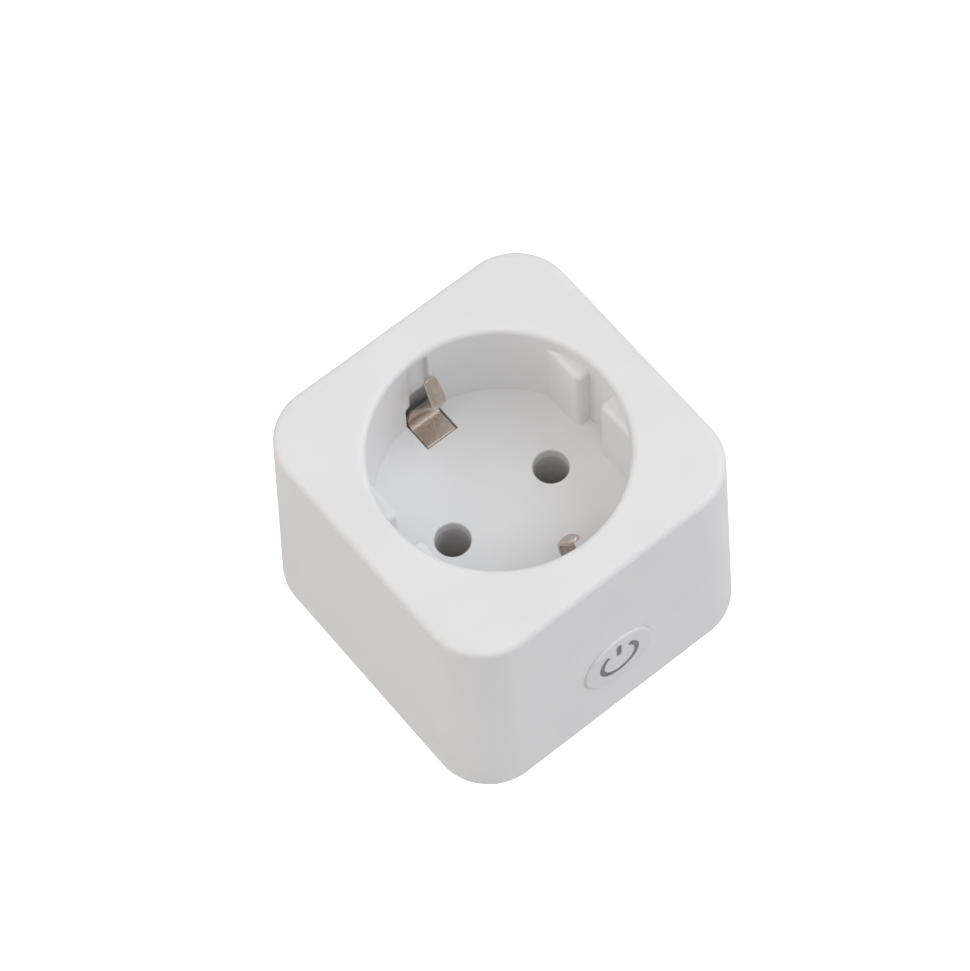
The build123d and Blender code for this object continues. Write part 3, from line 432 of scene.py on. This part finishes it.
# Earth clips: spring strip with a crowned contact point and rounded tip, on the CAD clip's hinge.
# Points of a clip are (distance from the recess axis, height); widths are (height, half width).
CLIP_THICK = 0.6
CLIP_EDGE_R = 0.12
CLIP_ROOT = (19.3, 27.75)
CLIP_BEND_Z = 29.6
CLIP_BEND_R = (1.6, 2.4)
CLIP_WIDTHS = [(27.9, 2.68), (28.8, 2.42), (30.6, 1.55), (31.6, 1.32), (39.5, 1.2), (42.0, 1.05)]
CLIP_TIP_R = 0.75
CLIP_STEP = 0.22
CROWN = 0.26
CROWN_REACH = 4.2
ACROSS = 10


def clip_ring(point, along, side, half_width, thick, crown):
    """One cross-section of a clip: a flat strip with rounded edges, bulging by crown in the middle."""
    normal = Vector((0, -along.z, along.y)) * side
    edge = min(CLIP_EDGE_R, thick / 2 * 0.98, half_width / 2)
    flat = half_width - edge
    level = thick / 2 - edge
    outline = []
    # Once over the face and once back over the underside, with a quarter turn at each corner.
    for face in (1, -1):
        for k in range(ACROSS + 1):
            x = face * (2 * flat * k / ACROSS - flat)
            outline.append((x, face * thick / 2 + crown * (1 - (x / half_width) ** 2)))
        for turn in (30, 60, 90):
            t = math.radians(turn)
            outline.append((face * (flat + edge * math.sin(t)), face * (level + edge * math.cos(t))))
        for turn in (0, 30, 60):
            t = math.radians(turn)
            outline.append((face * (flat + edge * math.cos(t)), -face * (level + edge * math.sin(t))))
    return [tuple(point + Vector((x, 0, 0)) + normal * out) for x, out in outline]


def earth_clip(where, side, contact, tip):
    """A visual clip for one side of the recess, from its rounded root to its rounded tip."""
    root_y, root_z = CLIP_ROOT
    bends = [(root_y, root_z), (root_y, CLIP_BEND_Z), contact, tip]
    path = filleted([Vector((0, side * y, z)) for y, z in bends], CLIP_BEND_R, CLIP_STEP)
    drops = [CLIP_THICK / 2 * math.sin(math.radians(t)) for t in (89, 60, 30)]
    path = [Vector((0, side * root_y, root_z - drop)) for drop in drops] + path
    lengths = [0.0]
    for a, b in zip(path, path[1:]):
        lengths.append(lengths[-1] + (b - a).length)
    contact_at = min(range(len(path)), key=lambda i: abs(path[i].z - contact[1]))
    rings = []
    for i, point in enumerate(path):
        along = (path[min(i + 1, len(path) - 1)] - path[max(i - 1, 0)]).normalized()
        half_width = interpolate(CLIP_WIDTHS, point.z)
        thick = CLIP_THICK
        if point.z < root_z:
            thick = 2 * math.sqrt((CLIP_THICK / 2) ** 2 - (root_z - point.z) ** 2)
        to_tip = lengths[-1] - lengths[i]
        if to_tip < CLIP_TIP_R:
            half_width -= CLIP_TIP_R - math.sqrt(CLIP_TIP_R ** 2 - (CLIP_TIP_R - to_tip) ** 2)
        near = max(0.0, 1 - abs(lengths[i] - lengths[contact_at]) / CROWN_REACH)
        crown = CROWN * near * near * (3 - 2 * near)
        rings.append(clip_ring(point, along, side, half_width, thick, crown))
    shape = Shape()
    shape.rings(rings)
    made = shape.piece(f"earth_finger_{where}", f"{where}_clip", "nickel_silver")
    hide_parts(f"earth_clip_{where}")


earth_clip("back", 1, (14.12, 37.7), (16.5, 42.6))
earth_clip("front", -1, (14.5, 37.1), (17.3, 41.4))


# Socket contacts: rolled sleeves with a rounded mouth and a closing seam.
SLEEVE_X = 9.5
SLEEVE_SEAM_DEG = 50.0
SLEEVE_SEAM = 0.01
SLEEVE_MIDDLE_R = 2.9
SLEEVE_STEPS = 64
# The mouth as (radius, drop below the top), up the inside and then down the outside.
SLEEVE_MOUTH = [
    (2.62, 1.8), (2.78, 0.7), (2.98, 0.12), (3.1, 0),
    (3.38, 0), (3.47, 0.1), (3.3, 0.8), (3.17, 1.8),
]


def contact_sleeve(where, side):
    """A visual contact sleeve, waisted where it grips a plug's pin."""
    low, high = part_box(f"socket_contact_{where}")
    bottom, top = low.z / MM, high.z / MM
    grip = (bottom + top) / 2
    wall = [(2.62, bottom), (2.5, grip)]
    wall += [(radius, top - drop) for radius, drop in SLEEVE_MOUTH]
    wall += [(3.03, grip), (3.18, bottom)]
    seam = SLEEVE_SEAM / 2 / SLEEVE_MIDDLE_R
    rings = []
    for k in range(SLEEVE_STEPS + 1):
        turn = math.radians(SLEEVE_SEAM_DEG) + seam + (2 * math.pi - 2 * seam) * k / SLEEVE_STEPS
        rings.append([(side * SLEEVE_X + r * math.cos(turn), r * math.sin(turn), z) for r, z in wall])
    shape = Shape()
    shape.rings(rings)
    made = shape.piece(f"contact_sleeve_{where}", "housing", "tinned_bronze")
    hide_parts(f"socket_contact_{where}")


contact_sleeve("left", -1)
contact_sleeve("right", 1)


# Button surround: the fine moulded lip of the housing that the cap runs in, square to the
# drafted side face. A lip outline is (radius, height over the face).
BUTTON_ORIGIN = (0, -27.023, 16.4)
BUTTON_TILT = math.radians(1.666)
BUTTON_OUT = (0, -math.cos(BUTTON_TILT), math.sin(BUTTON_TILT))
LIP_INNER_R, LIP_OUTER_R = 6.41, 6.56
LIP_SINK, LIP_DEPTH, LIP_ROUND = 0.004, 0.5, 0.03
LIP_OUTLINE = [
    (LIP_INNER_R, -LIP_DEPTH),
    (LIP_INNER_R, -LIP_SINK - LIP_ROUND),
    (LIP_INNER_R + LIP_ROUND, -LIP_SINK),
    (LIP_OUTER_R, -LIP_SINK),
    (LIP_OUTER_R, -LIP_DEPTH),
]
lip = Shape()
lip.hoop(LIP_OUTLINE, BUTTON_ORIGIN, BUTTON_OUT, sides=128)
lip.piece("button_aperture_lip", "housing", "white_plastic")


# ---------------------------------------------------------------- pieces inside the body

def corners_of(node):
    """The low and high corners of a CAD node, in millimetres."""
    return [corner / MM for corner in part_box(node)]


def middle(node):
    """The middle of a CAD node, in millimetres."""
    low, high = corners_of(node)
    return (low + high) / 2


BOARD_UNDER = corners_of("main_board")[0].z
BOARD_TOP = corners_of("main_board")[1].z

# A drum core is this much slimmer between its flanges, and the wire lies just clear of it.
DRUM_STEP = 0.9
WIRE_GAP = 0.02
BEAD_PARTS = 5
BEAD_SHARE = 0.98


def winding(node, flange, wire, rise):
    """Close turns of enamelled wire on a drum core, in a row of round beads."""
    low, high = corners_of(node)
    radius = (high.x - low.x) / 2 - DRUM_STEP + WIRE_GAP
    turns = int((high.z - low.z - 2 * flange) / wire)
    start = (low.z + high.z) / 2 - turns * wire / 2
    outline = [(radius, start + turns * wire), (radius, start)]
    for turn in range(turns):
        for part in range(BEAD_PARTS + 1):
            at = math.pi * part / BEAD_PARTS
            bead = start + wire * (turn + 0.5) - wire / 2 * BEAD_SHARE * math.cos(at)
            outline.append((radius + rise + wire / 2 * math.sin(at), bead))
    shape = Shape()
    shape.hoop(outline, (*middle(node).xy, 0.0))
    shape.piece(f"{node}_winding", "housing", "copper")


winding("filter_choke", 1.5, 0.48, 0.3)
winding("buck_inductor", 1.2, 0.36, 0.25)

# Leads: straight ones down through the board, and where each part's leads stand from its middle.
LEAD_R = 0.3
LEAD_END = BOARD_UNDER - 0.75
LEAD_TIP, LEAD_TIP_R = 0.1, 0.2
LEAD_REACH = 0.05
VARISTOR_LEAD_REACH = 1.2
LEAD_PLACES = {
    "input_capacitor": [(0, -1.75), (0, 1.75)],
    "output_capacitor": [(0, -1.25), (0, 1.25)],
    "filter_choke": [(-2.5, 0), (2.5, 0)],
    "buck_inductor": [(-2.0, 0), (2.0, 0)],
    "film_capacitor": [(0, -5.0), (0, 5.0)],
    "varistor": [(0, -2.5), (0, 2.5)],
    "relay_base": [(-12.0, -3.75), (-12.0, 3.75), (9.9, 0), (-6.5, -4.4)],
}
# A solder joint under the board, and a round blob of solder on a board's face: (radius, height).
JOINT = [(0.95, 0.0), (0.88, -0.08), (0.62, -0.3), (0.45, -0.52), (0.36, -0.62), (0.12, -0.66)]
BLOB = [(0.0, 0.45), (0.3, 0.4), (0.6, 0.15), (0.75, 0.0), (0.0, 0.0)]
leads, joints = Shape(), Shape()


def lead(x, y, top):
    """A straight lead from top down through the board, with its solder cone underneath."""
    stem = [(LEAD_TIP_R, LEAD_END - LEAD_TIP), (LEAD_R, LEAD_END), (LEAD_R, top)]
    leads.lathe(stem, (x, y, 0), sides=10)
    joints.lathe(JOINT, (x, y, BOARD_UNDER), sides=16)


for node, places in LEAD_PLACES.items():
    foot = corners_of(node)[0].z
    reach = VARISTOR_LEAD_REACH if node == "varistor" else LEAD_REACH
    for x, y in places:
        lead(middle(node).x + x, middle(node).y + y, foot + reach)

# The upright resistor's upper lead bends over and comes down beside it.
RESISTOR = middle("fusible_resistor")
RESISTOR_TOP = corners_of("fusible_resistor")[1].z
RETURN_X = RESISTOR.x + 2.7
LOOP_TOP = RESISTOR_TOP + 1.4
LOOP_R = (0.9, 0.9)
PATH_STEP = 1.0
over = [(RESISTOR.x, RESISTOR_TOP - 0.3), (RESISTOR.x, LOOP_TOP), (RETURN_X, LOOP_TOP), (RETURN_X, BOARD_TOP)]
leads.wire(filleted([Vector((x, RESISTOR.y, z)) for x, z in over], LOOP_R, PATH_STEP), LEAD_R)
lead(RESISTOR.x, RESISTOR.y, BOARD_TOP + 0.9)
lead(RETURN_X, RESISTOR.y, BOARD_TOP + 0.2)
leads.piece("component_leads", "housing", "tinned_steel")
joints.piece("solder_joints", "housing", "tinned_steel", sharp_deg=60.0)

# Gull-wing legs of the two chips.
LEG_HALF, LEG_THICK, LEG_PITCH = 0.22, 0.1, 1.1
LEG_TOP = 0.8
LEG_BENDS = [(-0.1, LEG_TOP), (0.35, LEG_TOP), (0.55, LEG_THICK), (1.1, LEG_THICK)]
LEG_BEND_R = (0.12, 0.12)
legs = Shape()
for node in ("bridge_rectifier", "power_controller"):
    low, high = corners_of(node)
    for k in (-1.5, -0.5, 0.5, 1.5):
        x = middle(node).x + k * LEG_PITCH
        for edge, out in ((low.y, -1), (high.y, 1)):
            points = [Vector((x, edge + reach * out, BOARD_TOP + z)) for reach, z in LEG_BENDS]
            legs.wire(filleted(points, LEG_BEND_R, PATH_STEP), LEG_HALF, LEG_THICK, (1, 0, 0))
legs.piece("chip_legs", "housing", "tinned_steel")

# Small surface-mounted parts: a dark body between two tinned ends, turned a quarter where marked.
CHIP_PARTS = [
    (7.2, -4.5, False), (9.5, -6.2, True), (-5.6, -5.2, False), (1.6, -6.4, True), (11.0, -14.0, False),
    (-15.2, -12.6, True), (-16.0, -6.6, False), (5.2, -14.4, True), (-1.5, -14.6, False),
]
CHIP_HALF_LENGTH, CHIP_HALF_WIDTH = 1.0, 0.62
CHIP_BODY_SHARE = 0.9
CHIP_END_AT, CHIP_END_HALF = 0.8, 0.22
CHIP_BODY_HEIGHT, CHIP_END_HEIGHT = 0.55, 0.6
CHIP_EDGE = 0.08


def stand_block(shape, centre, half, height):
    """A softened block standing on the main board, given by its middle and its half sizes."""
    x, y = centre
    low = (x - half[0], y - half[1], BOARD_TOP)
    high = (x + half[0], y + half[1], BOARD_TOP + height)
    shape.block(low, high, CHIP_EDGE)


bodies, ends = Shape(), Shape()
for x, y, turned in CHIP_PARTS:
    body = (CHIP_HALF_LENGTH * CHIP_BODY_SHARE, CHIP_HALF_WIDTH * CHIP_BODY_SHARE)
    end = (CHIP_END_HALF, CHIP_HALF_WIDTH)
    stand_block(bodies, (x, y), body[::-1] if turned else body, CHIP_BODY_HEIGHT)
    for offset in (-CHIP_END_AT, CHIP_END_AT):
        at = (x, y + offset) if turned else (x + offset, y)
        stand_block(ends, at, end[::-1] if turned else end, CHIP_END_HEIGHT)
bodies.piece("surface_mount_parts", "housing", "black_plastic")
ends.piece("surface_mount_ends", "housing", "tinned_steel")

# Capacitor ends: the bare can shows inside the rim of the sleeve, scored with a vent cross.
VENT_INSET = 0.75
VENT_PROFILE = [(0.0, -0.05), (0.0, 0.03), (-0.06, 0.06)]
VENT_FLAT_R, VENT_RISE = 0.4, 0.06
SCORE_SHARE, SCORE_HALF, SCORE_THICK = 0.7, 0.14, 0.05
vents = Shape()
for node in ("input_capacitor", "output_capacitor"):
    low, high = corners_of(node)
    x, y = middle(node).xy
    radius = (high.x - low.x) / 2 - VENT_INSET
    profile = [(radius + grow, height) for grow, height in VENT_PROFILE] + [(VENT_FLAT_R, VENT_RISE)]
    vents.lathe(profile, (x, y, high.z), sides=40)
    for turn in (45, 135):
        t = math.radians(turn)
        reach = Vector((math.cos(t), math.sin(t), 0)) * radius * SCORE_SHARE
        centre = Vector((x, y, high.z + VENT_RISE))
        vents.wire([centre - reach, centre + reach], SCORE_HALF, SCORE_THICK, (0, 0, 1))
vents.piece("capacitor_vents", "housing", "tinned_steel")

# Radio board: a meandered antenna on its bare end, and the solder along its foot.
RADIO_LOW, RADIO_HIGH = corners_of("wifi_board")
ANTENNA_X = (6.0, 11.4)
ANTENNA_FROM = RADIO_LOW.z + 3.0
ANTENNA_STEP = 1.15
ANTENNA_RUNS = 10
ANTENNA_Y = RADIO_HIGH.y + 0.02
ANTENNA_BEND_R = 0.3
TRACK_THICK, TRACK_HALF = 0.03, 0.28
path = [Vector((ANTENNA_X[0], ANTENNA_Y, ANTENNA_FROM))]
for k in range(ANTENNA_RUNS):
    side = ANTENNA_X[(k + 1) % 2]
    for height in (ANTENNA_FROM + k * ANTENNA_STEP, ANTENNA_FROM + (k + 1) * ANTENNA_STEP):
        path.append(Vector((side, ANTENNA_Y, height)))
bends = filleted(path, [ANTENNA_BEND_R] * (len(path) - 2), 4.0)
antenna = Shape()
antenna.wire(bends, TRACK_THICK, TRACK_HALF, (0, 1, 0))
antenna.piece("radio_antenna", "housing", "brass")

FOOT_JOINT = [(0.0, 0.9), (0.35, 0.75), (0.75, 0.3), (0.85, 0.0), (0.0, 0.0)]
FOOT_JOINT_PITCH, FOOT_JOINTS = 2.0, 10
pads = Shape()
for k in range(FOOT_JOINTS):
    x = (k - (FOOT_JOINTS - 1) / 2) * FOOT_JOINT_PITCH
    pads.hoop(FOOT_JOINT, (x, RADIO_HIGH.y + 0.1, BOARD_TOP), sides=12)
pads.piece("radio_board_joints", "housing", "tinned_steel", sharp_deg=60.0)

# Button board: the switch's four feet with their solder, and the header pins.
SWITCH = middle("tact_switch_body")
SWITCH_BACK = corners_of("tact_switch_body")[1].y
PANEL_LOW, PANEL_HIGH = corners_of("button_board")
FOOT_AT = (3.05, 2.25)
FOOT_HALF, FOOT_THICK, FOOT_TUCK = 0.35, 0.12, 0.4
FOOT_BEND_R = (0.2,)
FOOT_ROOT, FOOT_END = SWITCH_BACK - 1.0, PANEL_HIGH.y + 0.5
feet = Shape()
for sx in (-1, 1):
    for sz in (-1, 1):
        x, z = SWITCH.x + sx * FOOT_AT[0], SWITCH.z + sz * FOOT_AT[1]
        bends = [(x - sx * FOOT_TUCK, FOOT_ROOT), (x, FOOT_ROOT), (x, FOOT_END)]
        points = filleted([Vector((u, v, z)) for u, v in bends], FOOT_BEND_R, PATH_STEP)
        feet.wire(points, FOOT_HALF, FOOT_THICK, (0, 0, 1))
        feet.hoop(BLOB, (x, PANEL_HIGH.y, z), (0, 1, 0), 12)
feet.piece("switch_feet", "housing", "tinned_steel", sharp_deg=60.0)

HEADER_PINS, HEADER_PITCH = 6, 2.5
PIN_HALF, PIN_REACH = 0.35, 0.5
pins = Shape()
for k in range(HEADER_PINS):
    x = (k - (HEADER_PINS - 1) / 2) * HEADER_PITCH
    z = middle("board_header").z
    pins.wire([(x, PANEL_LOW.y - PIN_REACH, z), (x, RADIO_HIGH.y + PIN_REACH, z)], PIN_HALF, sides=4)
pins.piece("header_pins", "housing", "brass")


# ---------------------------------------------------------------- stage, light and camera

LIGHT_DISTANCE = 1.0
LIGHT_SIZE = 0.7
# Soft boxes: azimuth and elevation in degrees, watts, colour.
SOFT_BOXES = {
    "right": (0, 35, 0.229, (0.546, 0.830, 1.000)),
    "left_back": (135, 35, 1.987, (1.000, 0.949, 0.907)),
    "left": (180, 35, 0.741, (1.000, 0.825, 0.672)),
    "button_side": (315, 35, 1.382, (0.923, 0.910, 1.000)),
    "behind_camera": (225, 68, 2.187, (0.980, 0.987, 1.000)),
    "right_key": (-15, 50, 2.711, (0.937, 0.977, 1.000)),
}


def area_light(name, azimuth, elevation, power, colour=(1, 1, 1)):
    """A square soft box seen from the object at an azimuth and elevation in degrees."""
    light = bpy.data.lights.new(name, "AREA")
    light.shape = "SQUARE"
    light.size = LIGHT_SIZE
    light.energy = power
    light.color = colour
    holder = bpy.data.objects.new(name, light)
    bpy.context.scene.collection.objects.link(holder)
    turn, rise = math.radians(azimuth), math.radians(elevation)
    direction = Vector((math.cos(turn) * math.cos(rise), math.sin(turn) * math.cos(rise), math.sin(rise)))
    holder.location = Vector((0, 0, FRONT_Z / 2)) + direction * LIGHT_DISTANCE
    holder.rotation_mode = "QUATERNION"
    holder.rotation_quaternion = direction.to_track_quat("Z", "Y")
    holder.visible_camera = False


STUDIO_REFLECTION = 0.4
FLOOR_REACH = 3.0
TENT_REACH = 1.0
CLOTH_LOW, CLOTH_HIGH = (0.79, 0.79, 0.79), (0.81, 0.81, 0.81)


def build_stage():
    """A white table that reads as plain white to the camera and lights the object softly from below."""
    mesh = bpy.data.meshes.new("studio_floor")
    r = FLOOR_REACH
    corners = [(-r, -r, FLOOR_Z), (r, -r, FLOOR_Z), (r, r, FLOOR_Z), (-r, r, FLOOR_Z)]
    mesh.from_pydata(corners, [], [(0, 1, 2, 3)])
    floor = bpy.data.objects.new("studio_floor", mesh)
    bpy.context.scene.collection.objects.link(floor)
    s = Shader("studio_floor")
    tone = s.remap(s.noise(400.0), 0.0, 1.0)
    s.link(s.mix(tone, CLOTH_LOW, CLOTH_HIGH), s.bsdf.inputs["Base Color"])
    seen = s.add("ShaderNodeLightPath").outputs["Is Camera Ray"]
    s.link(seen, s.bsdf.inputs["Emission Strength"])
    s.bsdf.inputs["Emission Color"].default_value = (1, 1, 1, 1)
    s.set(Roughness=1.0)
    # Clear from underneath, so that the plug can be looked at from below.
    one_sided = s.add("ShaderNodeMixShader")
    s.link(s.add("ShaderNodeNewGeometry").outputs["Backfacing"], one_sided.inputs[0])
    s.link(s.bsdf.outputs[0], one_sided.inputs[1])
    s.link(s.add("ShaderNodeBsdfTransparent").outputs[0], one_sided.inputs[2])
    s.link(one_sided.outputs[0], s.tree.nodes["Material Output"].inputs["Surface"])
    mesh.materials.append(s.material)
    floor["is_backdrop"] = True


def build_tent():
    """A white cloth tent round the table: the camera looks through it, light bounces off it."""
    mesh = bpy.data.meshes.new("studio_tent")
    r = TENT_REACH
    foot = [(-r, -r, FLOOR_Z), (r, -r, FLOOR_Z), (r, r, FLOOR_Z), (-r, r, FLOOR_Z)]
    roof = [(x, y, r) for x, y, z in foot]
    walls = [(0, 1, 5, 4), (1, 2, 6, 5), (2, 3, 7, 6), (3, 0, 4, 7), (4, 5, 6, 7)]
    mesh.from_pydata(foot + roof, [], walls)
    tent = bpy.data.objects.new("studio_tent", mesh)
    bpy.context.scene.collection.objects.link(tent)
    tent.visible_camera = False
    s = Shader("studio_tent")
    tone = s.remap(s.noise(300.0), 0.0, 1.0)
    s.link(s.mix(tone, CLOTH_LOW, CLOTH_HIGH), s.bsdf.inputs["Base Color"])
    s.set(Roughness=0.5)
    mesh.materials.append(s.material)
    tent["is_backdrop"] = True


def build_world():
    """White behind the floor's edge for the camera, a dim studio in reflections, no light of its own."""
    world = bpy.data.worlds.new("studio")
    world.use_nodes = True
    bpy.context.scene.world = world
    nodes, links = world.node_tree.nodes, world.node_tree.links
    background = nodes["Background"]
    background.inputs["Color"].default_value = (1, 1, 1, 1)
    path = nodes.new("ShaderNodeLightPath")
    reflected = nodes.new("ShaderNodeMath")
    reflected.operation = "MULTIPLY"
    reflected.inputs[1].default_value = STUDIO_REFLECTION
    strength = nodes.new("ShaderNodeMath")
    strength.operation = "MAXIMUM"
    links.new(path.outputs["Is Glossy Ray"], reflected.inputs[0])
    links.new(path.outputs["Is Camera Ray"], strength.inputs[0])
    links.new(reflected.outputs["Value"], strength.inputs[1])
    links.new(strength.outputs["Value"], background.inputs["Strength"])


VIEW_AZIMUTH = math.radians(-35.57)
VIEW_ELEVATION = math.radians(63.65)
VIEW_ROLL = math.radians(-3.89)
VIEW_DISTANCE = 0.5922
VIEW_TARGET = Vector((-0.00534, -0.0034, FRONT_Z))
LENS_MM = 151.3
SENSOR_MM = 36.0


def build_camera():
    camera = bpy.data.cameras.new("camera")
    camera.lens = LENS_MM
    camera.sensor_width = SENSOR_MM
    camera.clip_start, camera.clip_end = 0.01, 20.0
    holder = bpy.data.objects.new("camera", camera)
    bpy.context.scene.collection.objects.link(holder)
    back = Vector((
        math.sin(VIEW_AZIMUTH) * math.cos(VIEW_ELEVATION),
        -math.cos(VIEW_AZIMUTH) * math.cos(VIEW_ELEVATION),
        math.sin(VIEW_ELEVATION),
    ))
    level_right = Vector((0, 0, 1)).cross(back).normalized()
    level_up = back.cross(level_right)
    right = level_right * math.cos(VIEW_ROLL) + level_up * math.sin(VIEW_ROLL)
    up = level_up * math.cos(VIEW_ROLL) - level_right * math.sin(VIEW_ROLL)
    turn = Matrix((right, up, back)).transposed().to_4x4()
    holder.matrix_world = Matrix.Translation(VIEW_TARGET + back * VIEW_DISTANCE) @ turn
    bpy.context.scene.camera = holder


build_stage()
build_tent()
build_world()
for box_name, settings in SOFT_BOXES.items():
    area_light(box_name, *settings)
build_camera()
bpy.context.scene.view_settings.view_transform = "Standard"
bpy.context.scene.cycles.use_denoising = True


low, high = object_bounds()
